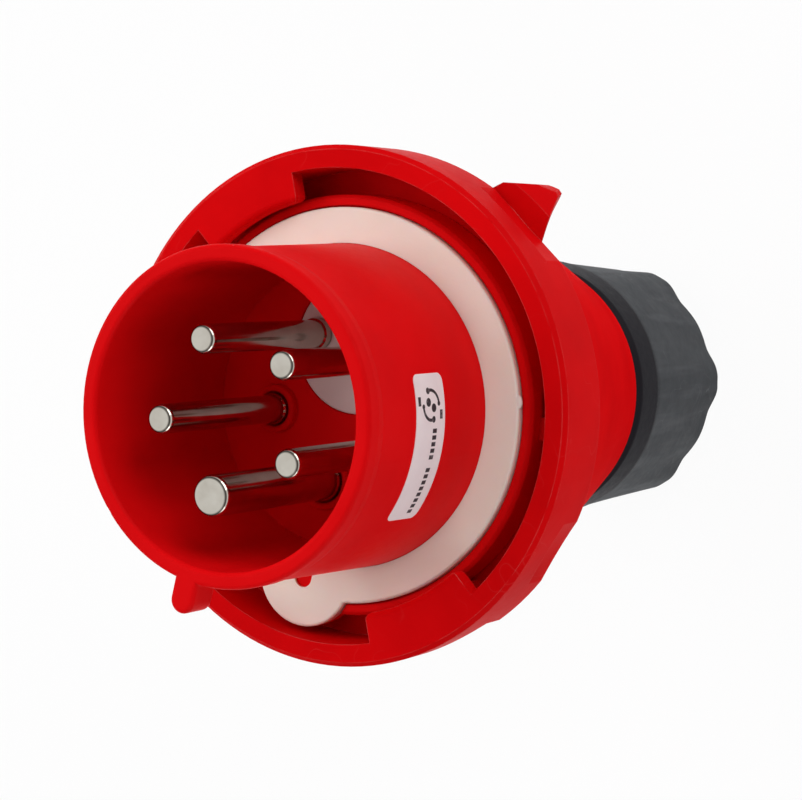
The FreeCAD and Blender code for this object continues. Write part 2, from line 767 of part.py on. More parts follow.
def gland_washer():
    """The sliding washer between the nut's floor and the rubber bush."""
    low = nut_floor + slide_fit
    return annulus(nut_seat_radius - running, nut_hole - running, low, low + washer_thickness)


def sealing_bush():
    """The rubber bush that grips the cable, with a flared mouth at each end and ribs outside."""
    high = body_rear - cable_step
    low = nut_floor + slide_fit + washer_thickness + slide_fit
    outer = bush_radius
    flare = bush_bore + bush_flare
    bush = turned([
        (outer, low), (outer, high), (flare, high), (bush_bore, high - bush_flare_length),
        (bush_bore, low + bush_flare_length), (flare, low),
    ])
    spacing = (high - low) / (bush_groove_count + 1)
    for index in range(bush_groove_count):
        middle = low + (index + 1) * spacing
        bush = bush.cut(Part.makeTorus(outer + bush_groove / 2, bush_groove, V(0, 0, middle), AXIS_Z))
    return bush


def clamping_cage():
    """The plastic cage round the bush: a ring with fingers that the nut's taper presses in."""
    high = body_rear - cable_step
    inner = cage_bore
    outer = cage_radius
    low = nut_floor + slide_fit + washer_thickness + running
    cage = annulus(outer, inner, low, high)
    cage = cage.fuse(annulus(collar_inner - slide_fit, inner, high - cage_ring, high))
    for index in range(cage_finger_count // 2):
        slot = Part.makeBox(4 * collar_inner, cage_slot, high - cage_ring * 1.5 - low + 1,
                            V(-2 * collar_inner, -cage_slot / 2, low - 1))
        cage = cage.cut(turned_about_z(slot, index * 360.0 / cage_finger_count))
    return cage.removeSplitter()


def build():
    """Makes every piece and returns it by its node name."""
    parts = {
        "front_housing": front_housing(),
        "face_gasket": face_gasket(),
        "body_seal": body_seal(),
        "inverter_disc": inverter_disc(),
        "inverter_pressure_ring": pressure_ring(),
        "inverter_spring": inverter_spring(),
        "spring_keeper": spring_keeper(),
        "terminal_carrier": terminal_carrier(),
        "carrier_screws": carrier_screws(),
        "locking_ring": locking_ring(),
        "rear_body": rear_body(),
        "body_lock_screw": body_lock_screw(),
        "gland_nut": gland_nut(),
        "gland_washer": gland_washer(),
        "sealing_bush": sealing_bush(),
        "clamping_cage": clamping_cage(),
    }
    for name, angle, radius, bore in fixed_pin_places():
        place = polar(pin_circle, angle)
        outward = polar(1, angle)
        parts[name] = contact_pin(place, radius, bore, plate_rear, outward, pin_flange_extra)
        parts[name + "_screw"] = terminal_screw(place, radius, bore, plate_rear, outward)
    for name, x in inverter_pin_places():
        place = V(x, inverter_y, 0)
        outward = AXIS_X if x > 0 else AXIS_X * -1
        parts[name] = contact_pin(place, phase_radius, conductor_radius, inverter_hub_end, outward,
                                  inverter_pin_flange_extra)
        screw = terminal_screw(place, phase_radius, conductor_radius, inverter_hub_end, outward)
        parts[name + "_screw"] = screw
    return parts


os.makedirs("parts", exist_ok=True)
for node, shape in build().items():
    shape.exportStep("parts/" + node + ".step")
    print(node, shape.ShapeType, len(shape.Solids), shape.isValid(), round(shape.Volume, 1))
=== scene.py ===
import math

import bmesh
import bpy
import numpy as np
from mathutils import Matrix, Vector


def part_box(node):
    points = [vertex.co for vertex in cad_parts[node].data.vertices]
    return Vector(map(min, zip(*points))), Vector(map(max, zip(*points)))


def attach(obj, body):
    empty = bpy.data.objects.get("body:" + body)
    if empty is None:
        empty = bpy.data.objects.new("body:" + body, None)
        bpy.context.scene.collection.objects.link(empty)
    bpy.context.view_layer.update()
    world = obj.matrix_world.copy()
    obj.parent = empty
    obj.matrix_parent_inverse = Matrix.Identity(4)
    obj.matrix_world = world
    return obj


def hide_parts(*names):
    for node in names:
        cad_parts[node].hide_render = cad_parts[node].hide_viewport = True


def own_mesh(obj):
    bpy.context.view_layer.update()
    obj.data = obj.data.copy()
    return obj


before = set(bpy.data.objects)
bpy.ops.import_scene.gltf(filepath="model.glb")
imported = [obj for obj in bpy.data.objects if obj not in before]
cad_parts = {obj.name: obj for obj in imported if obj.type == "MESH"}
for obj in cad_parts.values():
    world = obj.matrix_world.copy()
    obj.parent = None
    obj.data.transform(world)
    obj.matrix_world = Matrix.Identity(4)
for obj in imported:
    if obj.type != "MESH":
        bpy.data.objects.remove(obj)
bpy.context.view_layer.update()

# Front housing and rear body. Both are injection moulded in glossy red polyamide, the
# housing with its shroud, key and contact face in one, the body with the gland's collar.
# Their skin is smooth, with a very fine spark-eroded grain, and their edges are painted slightly
# paler, partly as wear and partly as painted highlight.
red = (0.80, 0.0036, 0.0055, 1)
deep_red = (0.72, 0.0024, 0.0042, 1)
# Paler red for the edges: partly wear, partly painted highlight along them.
worn_and_highlit_red = (0.78, 0.022, 0.022, 1)
grain_height = 0.0002


def node_group(name, inputs, outputs):
    """A shader node group with named sockets. Inputs are (name, kind, default)."""
    group = bpy.data.node_groups.new(name, "ShaderNodeTree")
    for label, kind, default in inputs:
        socket = group.interface.new_socket(label, in_out="INPUT",
                                            socket_type="NodeSocket" + kind)
        socket.default_value = default
    for label, kind in outputs:
        group.interface.new_socket(label, in_out="OUTPUT", socket_type="NodeSocket" + kind)
    return group, group.nodes.new("NodeGroupInput"), group.nodes.new("NodeGroupOutput")


def noise(tree, vector, scale, detail=2.0, roughness=0.5):
    """Soft random value from 0 to 1 over the surface, scale lumps to the metre."""
    node = tree.nodes.new("ShaderNodeTexNoise")
    node.inputs["Detail"].default_value = detail
    node.inputs["Roughness"].default_value = roughness
    tree.links.new(vector, node.inputs["Vector"])
    if isinstance(scale, (int, float)):
        node.inputs["Scale"].default_value = scale
    else:
        tree.links.new(scale, node.inputs["Scale"])
    return node.outputs["Fac"]


def maths(tree, operation, first, second=0.0, clamp=False):
    """One arithmetic step on sockets or plain numbers."""
    node = tree.nodes.new("ShaderNodeMath")
    node.operation = operation
    node.use_clamp = clamp
    for index, value in enumerate((first, second)):
        if isinstance(value, (int, float)):
            node.inputs[index].default_value = value
        else:
            tree.links.new(value, node.inputs[index])
    return node.outputs[0]


def spread(tree, value, low, high, out_low=0.0, out_high=1.0):
    """Linear map of value from low..high to out_low..out_high, held at the ends."""
    node = tree.nodes.new("ShaderNodeMapRange")
    tree.links.new(value, node.inputs["Value"])
    ends = {"From Min": low, "From Max": high, "To Min": out_low, "To Max": out_high}
    for label, number in ends.items():
        node.inputs[label].default_value = number
    return node.outputs["Result"]


def blend_colour(tree, share, first, second):
    """Colour from first to second by share."""
    node = tree.nodes.new("ShaderNodeMix")
    node.data_type = "RGBA"
    for index, value in ((0, share), (6, first), (7, second)):
        if isinstance(value, (int, float, tuple)):
            node.inputs[index].default_value = value
        else:
            tree.links.new(value, node.inputs[index])
    return node.outputs[2]


def object_place(tree):
    """The point's place on the piece, in metres."""
    return tree.nodes.new("ShaderNodeTexCoord").outputs["Object"]


def moulded_skin():
    """Skin of a moulding: colour drifts from Base to Deep in soft clouds, roughness wavers
    by Spread, and height is fine grain over a faint orange-peel."""
    group, give, take = node_group(
        "moulded skin",
        [("Base", "Color", red), ("Deep", "Color", deep_red), ("Clouds", "Float", 70.0),
         ("Grain", "Float", 3200.0), ("Roughness", "Float", 0.34), ("Spread", "Float", 0.12)],
        [("Color", "Color"), ("Roughness", "Float"), ("Height", "Float")])
    place = object_place(group)
    clouds = noise(group, place, give.outputs["Clouds"], 3.0)
    grain = noise(group, place, give.outputs["Grain"], 1.0)
    peel = noise(group, place, 650.0, 2.0)
    share = spread(group, clouds, 0.35, 0.75)
    drift = blend_colour(group, share, give.outputs["Base"], give.outputs["Deep"])
    group.links.new(drift, take.inputs["Color"])
    waver = maths(group, "MULTIPLY", maths(group, "SUBTRACT", peel, 0.5), give.outputs["Spread"])
    group.links.new(maths(group, "ADD", give.outputs["Roughness"], waver), take.inputs["Roughness"])
    height = maths(group, "ADD", maths(group, "MULTIPLY", grain, 0.35),
                   maths(group, "MULTIPLY", peel, 0.65))
    group.links.new(height, take.inputs["Height"])
    return group


def worn_and_highlit_edges():
    """Mask that is 1 on edges, for edges painted paler, partly as wear and partly as painted
    highlight: the angle between the face and the same point on edges softened to the given Radius,
    broken up by soft noise. Normal is that of the softened edges."""
    group, give, take = node_group(
        "worn and highlit edges", [("Radius", "Float", 0.0006), ("Strength", "Float", 1.0)],
        [("Mask", "Float"), ("Normal", "Vector")])
    soft = group.nodes.new("ShaderNodeBevel")
    soft.samples = 4
    group.links.new(give.outputs["Radius"], soft.inputs["Radius"])
    face = group.nodes.new("ShaderNodeNewGeometry")
    turn = group.nodes.new("ShaderNodeVectorMath")
    turn.operation = "DOT_PRODUCT"
    group.links.new(soft.outputs["Normal"], turn.inputs[0])
    group.links.new(face.outputs["Normal"], turn.inputs[1])
    bend = maths(group, "SUBTRACT", 1.0, turn.outputs["Value"])
    edge = spread(group, bend, 0.02, 0.22)
    patch = spread(group, noise(group, object_place(group), 260.0, 3.0), 0.3, 0.62)
    mask = maths(group, "MULTIPLY", maths(group, "MULTIPLY", edge, patch),
                 give.outputs["Strength"], True)
    group.links.new(mask, take.inputs["Mask"])
    group.links.new(soft.outputs["Normal"], take.inputs["Normal"])
    return group


def fine_scuffs():
    """Mask of thin wandering scratches: the narrow band where a soft noise crosses its middle,
    kept only inside some clouds."""
    group, give, take = node_group(
        "fine scuffs",
        [("Scale", "Float", 120.0), ("Width", "Float", 0.006), ("Cover", "Float", 0.5)],
        [("Mask", "Float")])
    place = object_place(group)
    lines = noise(group, place, give.outputs["Scale"], 1.0)
    away = maths(group, "ABSOLUTE", maths(group, "SUBTRACT", lines, 0.5))
    thin = maths(group, "SUBTRACT", 1.0, maths(group, "DIVIDE", away, give.outputs["Width"]), True)
    clouds = noise(group, place, 90.0, 3.0)
    bare = maths(group, "SUBTRACT", 1.0, give.outputs["Cover"])
    kept = maths(group, "MULTIPLY", maths(group, "SUBTRACT", clouds, bare), 6.0, True)
    group.links.new(maths(group, "MULTIPLY", thin, kept), take.inputs["Mask"])
    return group


skin_group = moulded_skin()
edge_group = worn_and_highlit_edges()
scuff_group = fine_scuffs()


def use(tree, group, **values):
    """A group placed in a material, with its own values."""
    node = tree.nodes.new("ShaderNodeGroup")
    node.node_tree = group
    for label, value in values.items():
        node.inputs[label].default_value = value
    return node


def new_material(name):
    """A material with its node tree and its main shader."""
    material = bpy.data.materials.new(name)
    material.use_nodes = True
    return material, material.node_tree, material.node_tree.nodes["Principled BSDF"]


def add_relief(tree, height, strength, distance):
    """A bump of the given height, put in front of the shader's normal."""
    relief = tree.nodes.new("ShaderNodeBump")
    relief.inputs["Strength"].default_value = strength
    relief.inputs["Distance"].default_value = distance
    tree.links.new(height, relief.inputs["Height"])
    tree.links.new(relief.outputs["Normal"], tree.nodes["Principled BSDF"].inputs["Normal"])
    return relief


def moulding(name, base, deep, edge, clouds=70.0, grain=3200.0, roughness=0.34, waver=0.12,
             bump=0.12, edge_strength=0.5, edge_radius=0.0006, ior=1.2, specular=0.3,
             scuffs=0.0, scuff_scale=120.0):
    """A moulded plastic: the skin group, edges painted paler partly as wear and partly as painted
    highlight, thin scuffs and a fine bump over softened edges. Gives the bump back too."""
    material, tree, shader = new_material(name)
    skin = use(tree, skin_group, Base=base, Deep=deep, Clouds=clouds, Grain=grain,
               Roughness=roughness, Spread=waver)
    edges = use(tree, edge_group, Radius=edge_radius, Strength=edge_strength)
    scratched = use(tree, scuff_group, Scale=scuff_scale, Cover=0.55)
    scratches = maths(tree, "MULTIPLY", scratched.outputs["Mask"], scuffs)
    # Edges painted paler: partly wear, partly painted highlight along them.
    worn = maths(tree, "MAXIMUM", edges.outputs["Mask"], scratches)
    worn_and_highlit_colour = blend_colour(tree, worn, skin.outputs["Color"], edge)
    tree.links.new(worn_and_highlit_colour, shader.inputs["Base Color"])
    tree.links.new(skin.outputs["Roughness"], shader.inputs["Roughness"])
    relief = add_relief(tree, skin.outputs["Height"], bump, grain_height)
    tree.links.new(edges.outputs["Normal"], relief.inputs["Normal"])
    shader.inputs["IOR"].default_value = ior
    shader.inputs["Specular IOR Level"].default_value = specular
    return material, relief


def dress(material, *nodes):
    """Gives CAD nodes this material."""
    for name in nodes:
        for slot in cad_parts[name].material_slots:
            slot.material = material


housing_red, relief = moulding("housing red", red, deep_red, worn_and_highlit_red, roughness=0.42,
                               edge_strength=0.35, ior=1.12)
dress(housing_red, "front_housing")
body_red, relief = moulding("body red", red, deep_red, worn_and_highlit_red, roughness=0.40, ior=1.03,
                            specular=0.02)
dress(body_red, "rear_body")

# Thread on the body's collar, cut in the same moulding and mostly under the gland nut. The
# collar's wall is smooth, and a relief winds round it at three millimetres a turn.
thread_pitch = 0.003
thread_height = 0.0006
collar_reach = 0.0209
collar_top = 0.0437


def wound_thread(tree):
    """Relief of the thread: sine of the height in turns less the angle about the axis, times
    a mask of the collar by its radius and height."""
    split = tree.nodes.new("ShaderNodeSeparateXYZ")
    tree.links.new(object_place(tree), split.inputs[0])
    across, deep, high = split.outputs
    turn = maths(tree, "ARCTAN2", deep, across)
    climb = maths(tree, "MULTIPLY", high, 2 * math.pi / thread_pitch)
    wave = maths(tree, "SINE", maths(tree, "SUBTRACT", climb, turn))
    squares = maths(tree, "ADD", maths(tree, "POWER", across, 2.0), maths(tree, "POWER", deep, 2.0))
    reach = maths(tree, "SQRT", squares)
    near = maths(tree, "LESS_THAN", reach, collar_reach)
    below = maths(tree, "LESS_THAN", high, collar_top)
    return maths(tree, "MULTIPLY", wave, maths(tree, "MULTIPLY", near, below))


tree = body_red.node_tree
groove = tree.nodes.new("ShaderNodeBump")
groove.inputs["Strength"].default_value = 1.0
groove.inputs["Distance"].default_value = thread_height
tree.links.new(wound_thread(tree), groove.inputs["Height"])
tree.links.new(relief.inputs["Normal"].links[0].from_socket, groove.inputs["Normal"])
tree.links.new(groove.outputs["Normal"], relief.inputs["Normal"])

# Locking ring. A separate moulding in a slightly deeper red, with grip hollows and wings. Its edges
# carry thin pale lines, painted highlight along the edges with some rubbing.
ring_red, relief = moulding("ring red", (0.75, 0.0030, 0.0048, 1), (0.65, 0.0022, 0.0040, 1),
                            (0.86, 0.16, 0.15, 1), roughness=0.36, waver=0.14,
                            edge_strength=0.9, edge_radius=0.0003, ior=1.1, specular=0.12,
                            scuffs=0.1)
dress(ring_red, "locking_ring")

# Label. A printed foil with rounded corners, stuck round the shroud behind the rim. It has a
# pale face with generic print: a broken ring with dots at one end, then rows of short bars.
label_low, label_high = 0.1270, 0.1360
label_start, label_end = math.radians(-23.05), math.radians(28.95)
label_corner = 0.0013
label_foil = 0.00010
shroud_waist, shroud_root = 0.0276, 0.0285
waist_height, root_height = 0.1460, 0.1124


def shroud_outside(height):
    """Radius of the shroud's drafted wall at a height: even growth from waist to root."""
    slope = (shroud_root - shroud_waist) / (waist_height - root_height)
    return shroud_waist + (waist_height - height) * slope


def grid_faces(rows, columns):
    """Quads that join neighbouring points of a grid laid out row by row."""
    first = (np.arange(rows - 1)[:, None] * columns + np.arange(columns - 1)[None, :]).ravel()
    return np.stack([first, first + 1, first + columns + 1, first + columns], 1)


def fill_mesh(name, points, faces, closed=False):
    """A mesh from arrays of points and quads, shaded smooth. On a closed one the points that
    meet at seams and poles are joined, and the faces are turned outwards."""
    mesh = bpy.data.meshes.new(name)
    mesh.vertices.add(len(points))
    mesh.vertices.foreach_set("co", points.astype(np.float32).ravel())
    mesh.loops.add(faces.size)
    mesh.loops.foreach_set("vertex_index", faces.astype(np.int32).ravel())
    mesh.polygons.add(len(faces))
    mesh.polygons.foreach_set("loop_start", np.arange(0, faces.size, 4, dtype=np.int32))
    mesh.update(calc_edges=True)
    mesh.validate()
    mesh.polygons.foreach_set("use_smooth", np.ones(len(mesh.polygons), dtype=bool))
    if closed:
        skin = bmesh.new()
        skin.from_mesh(mesh)
        bmesh.ops.remove_doubles(skin, verts=skin.verts, dist=1e-7)
        bmesh.ops.recalc_face_normals(skin, faces=skin.faces)
        skin.to_mesh(mesh)
        skin.free()
    piece = bpy.data.objects.new(name, mesh)
    bpy.context.scene.collection.objects.link(piece)
    return piece


def label_patch():
    """A rounded rectangle bent round the shroud: the half length of each row shrinks by the
    corner's circle near the two long edges. Its own map holds centimetres along and across."""
    half_height = (label_high - label_low) / 2
    middle_height = (label_high + label_low) / 2
    radius = shroud_outside(middle_height)
    half_length = (label_end - label_start) / 2 * radius
    across = np.sin(np.linspace(-math.pi / 2, math.pi / 2, 41)) * half_height
    beyond = np.clip(np.abs(across) - (half_height - label_corner), 0, None)
    corner = np.sqrt(np.clip(label_corner ** 2 - beyond ** 2, 0, None))
    reach = half_length - label_corner + corner
    along = np.linspace(-1, 1, 97)[None, :] * reach[:, None]
    height = middle_height + across[:, None] + 0 * along
    angle = (label_start + label_end) / 2 + along / radius
    out = shroud_outside(height) + label_foil
    points = np.stack([out * np.cos(angle), out * np.sin(angle), height], -1).reshape(-1, 3)
    piece = fill_mesh("phase_label", points, grid_faces(*along.shape))
    flat = np.stack([along + half_length, height - label_low], -1).reshape(-1, 2) * 100
    loops = np.empty(len(piece.data.loops), dtype=np.int32)
    piece.data.loops.foreach_get("vertex_index", loops)
    layer = piece.data.uv_layers.new(name="print")
    layer.data.foreach_set("uv", flat[loops].astype(np.float32).ravel())
    foil = piece.modifiers.new("foil", "SOLIDIFY")
    foil.thickness = label_foil
    foil.offset = -1
    return piece


def band(tree, value, centre, half, soft=0.06):
    """1 where value lies within half of centre, with a soft edge."""
    away = maths(tree, "ABSOLUTE", maths(tree, "SUBTRACT", value, centre))
    return spread(tree, away, half - soft / 2, half + soft / 2, 1.0, 0.0)


def dot(tree, along, across, place, radius):
    """1 inside a round dot, and the distance from its middle."""
    one = maths(tree, "POWER", maths(tree, "SUBTRACT", along, place[0]), 2.0)
    two = maths(tree, "POWER", maths(tree, "SUBTRACT", across, place[1]), 2.0)
    away = maths(tree, "SQRT", maths(tree, "ADD", one, two))
    return spread(tree, away, radius - 0.03, radius + 0.03, 1.0, 0.0), away


label = label_patch()
foil_print, tree, shader = new_material("printed foil")
chart = tree.nodes.new("ShaderNodeUVMap")
chart.uv_map = "print"
split = tree.nodes.new("ShaderNodeSeparateXYZ")
tree.links.new(chart.outputs["UV"], split.inputs[0])
along = maths(tree, "MULTIPLY", split.outputs["X"], 10.0)
across = maths(tree, "MULTIPLY", split.outputs["Y"], 10.0)
symbol = (20.2, 4.3)
ring_reach, ring_half = 2.45, 0.27
ring_turn = maths(tree, "ARCTAN2", maths(tree, "SUBTRACT", across, symbol[1]),
                  maths(tree, "SUBTRACT", along, symbol[0]))
gaps = maths(tree, "SINE", maths(tree, "ADD", maths(tree, "MULTIPLY", ring_turn, 2.0), 2.8))
away = dot(tree, along, across, symbol, 0.0)[1]
ink = maths(tree, "MULTIPLY", band(tree, away, ring_reach, ring_half),
            spread(tree, gaps, -0.2, -0.1))
for right, up, radius in ((0.48, 0.80, 0.72), (2.35, 0.72, 0.55), (0.2, -2.42, 0.42)):
    for side in (1, -1):
        place = (symbol[0] + side * right, symbol[1] + side * up)
        ink = maths(tree, "MAXIMUM", ink, dot(tree, along, across, place, radius)[0])
letter_step = 1.1
beat = maths(tree, "FRACT", maths(tree, "DIVIDE", along, letter_step))
bars = maths(tree, "MULTIPLY", band(tree, beat, 0.5, 0.33, 0.08),
             band(tree, across, 3.1, 0.64))
words = maths(tree, "MAXIMUM", band(tree, along, 12.5 * letter_step, 2.5 * letter_step),
              band(tree, along, 5 * letter_step, 4 * letter_step))
ink = maths(tree, "MAXIMUM", ink, maths(tree, "MULTIPLY", bars, words))
for right, up in ((20.9, 7.9), (18.6, 1.2)):
    mark = maths(tree, "MULTIPLY", band(tree, along, right, 0.75), band(tree, across, up, 0.42))
    ink = maths(tree, "MAXIMUM", ink, mark)
worn = spread(tree, noise(tree, object_place(tree), 900.0, 3.0), 0.25, 0.45, 0.75, 1.0)
clouds = spread(tree, noise(tree, object_place(tree), 160.0, 2.0), 0.3, 0.7)
face = blend_colour(tree, clouds, (0.97, 0.85, 0.86, 1), (0.91, 0.78, 0.80, 1))
printed = blend_colour(tree, maths(tree, "MULTIPLY", ink, worn), face, (0.020, 0.016, 0.022, 1))
tree.links.new(printed, shader.inputs["Base Color"])
shader.inputs["Roughness"].default_value = 0.42
shader.inputs["Specular IOR Level"].default_value = 0.3
label.data.materials.append(foil_print)
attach(label, "plug")

# Face gasket. Soft cream silicone, cut flat and pushed over the shroud's root, where it
# stays by its own stretch. It scatters light, so its edges look warm.
silicone, tree, shader = new_material("cream silicone")
skin = use(tree, skin_group, Base=(0.98, 0.92, 0.82, 1), Deep=(0.96, 0.885, 0.775, 1),
           Clouds=110.0, Grain=2600.0, Roughness=0.48, Spread=0.16)
tree.links.new(skin.outputs["Color"], shader.inputs["Base Color"])
tree.links.new(skin.outputs["Roughness"], shader.inputs["Roughness"])
add_relief(tree, skin.outputs["Height"], 0.2, grain_height)
shader.inputs["Subsurface Weight"].default_value = 0.25
shader.inputs["Subsurface Radius"].default_value = (0.9, 0.5, 0.35)
shader.inputs["Subsurface Scale"].default_value = 0.0015
dress(silicone, "face_gasket")

# Moulding pip of the gasket: the small nib left where the silicone was filled in, at its
# outer edge. A flattened ball, half sunk in the edge.
pip_angle = math.radians(17.3)
pip_size = np.array([0.00075, 0.0012, 0.00042])
gasket_edge = 0.0346
gasket_middle = 0.11295


def edge_pip():
    """A ball stretched along the edge: its round section shrinks by the cosine of the rise."""
    turn = np.linspace(0, 2 * math.pi, 25)[None, :]
    rise = np.linspace(-math.pi / 2, math.pi / 2, 17)[:, None]
    ball = [np.sin(rise) + 0 * turn, np.cos(rise) * np.cos(turn), np.cos(rise) * np.sin(turn)]
    local = np.stack(ball, -1) * pip_size
    local = local.reshape(-1, 3) + np.array([gasket_edge, 0, gasket_middle])
    across, along, high = local.T
    out = across * math.cos(pip_angle) - along * math.sin(pip_angle)
    side = across * math.sin(pip_angle) + along * math.cos(pip_angle)
    faces = grid_faces(rise.size, turn.size)
    return fill_mesh("gasket_pip", np.stack([out, side, high], -1), faces, closed=True)


pip = edge_pip()
pip.data.materials.append(silicone)
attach(pip, "plug")

# Contact pins. Turned from brass bar and nickel plated, pressed into the contact face from behind.
# The heads are bright, with a dark ring painted round their rounded edge as a painted reflection;
# the shafts carry faint drawing lines.
plating_height = 0.00005


def plated_metal(name, colour, shade, roughness, lines, bump):
    """Plated metal: tone wavers between two greys, fine lines run along the axis."""
    material, tree, shader = new_material(name)
    place = object_place(tree)
    stretch = tree.nodes.new("ShaderNodeMapping")
    stretch.inputs["Scale"].default_value = lines
    tree.links.new(place, stretch.inputs["Vector"])
    streaks = noise(tree, stretch.outputs["Vector"], 1.0, 3.0, 0.6)
    clouds = noise(tree, place, 300.0, 2.0)
    share = spread(tree, clouds, 0.35, 0.7)
    tree.links.new(blend_colour(tree, share, colour, shade), shader.inputs["Base Color"])
    tree.links.new(spread(tree, streaks, 0.3, 0.7, roughness * 0.7, roughness * 1.3),
                   shader.inputs["Roughness"])
    add_relief(tree, streaks, bump, plating_height)
    shader.inputs["Metallic"].default_value = 1.0
    return material, tree, shader


nickel, tree, shader = plated_metal("nickel plate", (0.54, 0.515, 0.46, 1), (0.47, 0.44, 0.385, 1),
                                    0.15, (2600, 2600, 60), 0.06)
split = tree.nodes.new("ShaderNodeSeparateXYZ")
tree.links.new(object_place(tree), split.inputs[0])
millimetres = maths(tree, "MULTIPLY", split.outputs["Z"], 1000.0)
# A dark ring painted round the heads' rounded edge: painted reflection of dark surroundings.
painted_dark_reflection = band(tree, millimetres, 148.99, 0.11, 0.12)
plate = shader.inputs["Base Color"].links[0].from_socket
head_with_painted_reflection = blend_colour(tree, painted_dark_reflection, plate, (0.06, 0.052, 0.045, 1))
tree.links.new(head_with_painted_reflection, shader.inputs["Base Color"])
dress(nickel, "earth_pin", "neutral_pin", "line_1_pin", "line_2_pin", "line_3_pin")

# Inverter disc. Light grey moulded plastic that turns in the contact face under a
# screwdriver, and carries two of the pins.
disc_grey, relief = moulding("disc grey", (0.80, 0.79, 0.77, 1), (0.72, 0.71, 0.69, 1),
                             (0.88, 0.87, 0.85, 1), roughness=0.42, edge_strength=0.4)
dress(disc_grey, "inverter_disc")

# Small steel pieces: terminal screws, carrier screws, lock screw and the ring between the
# spring and the inverter disc, all zinc plated.
zinc, tree, shader = plated_metal("zinc plate", (0.62, 0.62, 0.60, 1), (0.50, 0.50, 0.50, 1), 0.32,
                                  (1800, 1800, 600), 0.3)
dress(zinc, "earth_pin_screw", "neutral_pin_screw", "line_1_pin_screw", "line_2_pin_screw",
      "line_3_pin_screw", "carrier_screws", "body_lock_screw", "inverter_pressure_ring")

# Inverter spring. Steel wire wound with its end turns laid flat, between the snap ring and
# the ring under the disc. The real one shortens as the disc is pressed in; this coil is built once
# at its rest length and rides with the plug.
spring_wire = 0.0005
spring_turns, flat_share = 4.0, 0.125
cap_rings = 6


def coil_spring(lowest, highest):
    """A round wire swept along a coil: the height stays level over the first and last share
    of the turns and rises evenly between them. The wire's ends are domes."""
    centre = (lowest + highest) / 2
    radius = (highest.x - lowest.x) / 2 - spring_wire
    share = np.linspace(0, 1, 321)
    turn = share * spring_turns * 2 * math.pi
    rise = np.clip((share - flat_share) / (1 - 2 * flat_share), 0, 1)
    height = lowest.z + spring_wire + rise * (highest.z - lowest.z - 2 * spring_wire)
    cap = np.linspace(0, math.pi / 2, cap_rings)
    thin = np.ones_like(share)
    thin[:cap_rings] = np.sin(cap)
    thin[-cap_rings:] = np.cos(cap)
    turn[:cap_rings] = turn[cap_rings - 1] - np.cos(cap) * spring_wire / radius
    turn[-cap_rings:] = turn[-cap_rings] + np.sin(cap) * spring_wire / radius
    around = np.linspace(0, 2 * math.pi, 17)[None, :]
    out = radius + spring_wire * thin[:, None] * np.cos(around)
    high = height[:, None] + spring_wire * thin[:, None] * np.sin(around)
    right = centre.x + out * np.cos(turn)[:, None]
    back = centre.y + out * np.sin(turn)[:, None]
    points = np.stack([right, back, high], -1).reshape(-1, 3)
    return fill_mesh("coil_spring", points, grid_faces(*high.shape), closed=True)


lowest, highest = (Vector(corner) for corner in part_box("inverter_spring"))
spring = coil_spring(lowest, highest)
spring.data.materials.append(zinc)
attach(spring, "plug")
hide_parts("inverter_spring")
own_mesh(spring)

# Black mouldings inside: the terminal carrier on its two screws, the spring keeper snapped
# into its groove, and the gland's clamping cage and washer, pushed in from the end.
black_plastic, relief = moulding("black plastic", (0.035, 0.035, 0.037, 1),
                                 (0.022, 0.022, 0.024, 1), (0.12, 0.12, 0.125, 1), roughness=0.5)
dress(black_plastic, "terminal_carrier", "spring_keeper", "clamping_cage", "gland_washer")

# Rubber bush and body seal. Moulded black rubber with a dull bloom: the bush is pushed into
# the cage round the cable, and the seal is stretched into the spigot's groove.
black_rubber, relief = moulding("black rubber", (0.018, 0.018, 0.018, 1),
                                (0.032, 0.031, 0.030, 1), (0.07, 0.07, 0.07, 1), roughness=0.72,
                                waver=0.2, bump=0.35, grain=1800.0)
dress(black_rubber, "sealing_bush", "body_seal")

# Gland nut. Dark grey glass-filled polyamide, moulded with six ribs. Its skin is matt with scuffs,
# and paler on its edges and in streaks along the axis, partly wear and partly painted sheen; the
# plain band in front of the ribs is smoother and painted darker, as painted shade where it faces
# the body.
band_rear, band_front = 0.0330, 0.0352
nut_grey, relief = moulding("nut grey", (0.072, 0.077, 0.083, 1), (0.054, 0.058, 0.064, 1),
                            (0.20, 0.205, 0.21, 1), clouds=130.0, grain=2400.0, roughness=0.5,
                            waver=0.25, bump=0.35, edge_strength=0.7, edge_radius=0.001, ior=1.12,
                            specular=0.3, scuffs=0.35, scuff_scale=160.0)
tree = nut_grey.node_tree
shader = tree.nodes["Principled BSDF"]
split = tree.nodes.new("ShaderNodeSeparateXYZ")
tree.links.new(object_place(tree), split.inputs[0])
band_shade_and_polish = spread(tree, split.outputs["Z"], band_rear, band_front)
# Pale streaks along the axis: partly wear, partly painted sheen as from light along the ribs.
drawn = tree.nodes.new("ShaderNodeMapping")
drawn.inputs["Scale"].default_value = (330, 330, 45)
tree.links.new(object_place(tree), drawn.inputs["Vector"])
streaks = spread(tree, noise(tree, drawn.outputs["Vector"], 1.0, 3.0), 0.5, 0.75, 0.0, 0.4)
moulded_grey = shader.inputs["Base Color"].links[0].from_socket
worn_and_sheen_grey = blend_colour(tree, streaks, moulded_grey, (0.13, 0.137, 0.147, 1))
# The front band is painted near black as painted shade where it faces the body; it is also made
# smoother.
banded = blend_colour(tree, band_shade_and_polish, worn_and_sheen_grey, (0.017, 0.016, 0.020, 1))
tree.links.new(banded, shader.inputs["Base Color"])
wavering = shader.inputs["Roughness"].links[0].from_socket
smoother = maths(tree, "SUBTRACT", wavering, maths(tree, "MULTIPLY", band_shade_and_polish, 0.12))
tree.links.new(smoother, shader.inputs["Roughness"])
dress(nut_grey, "gland_nut")

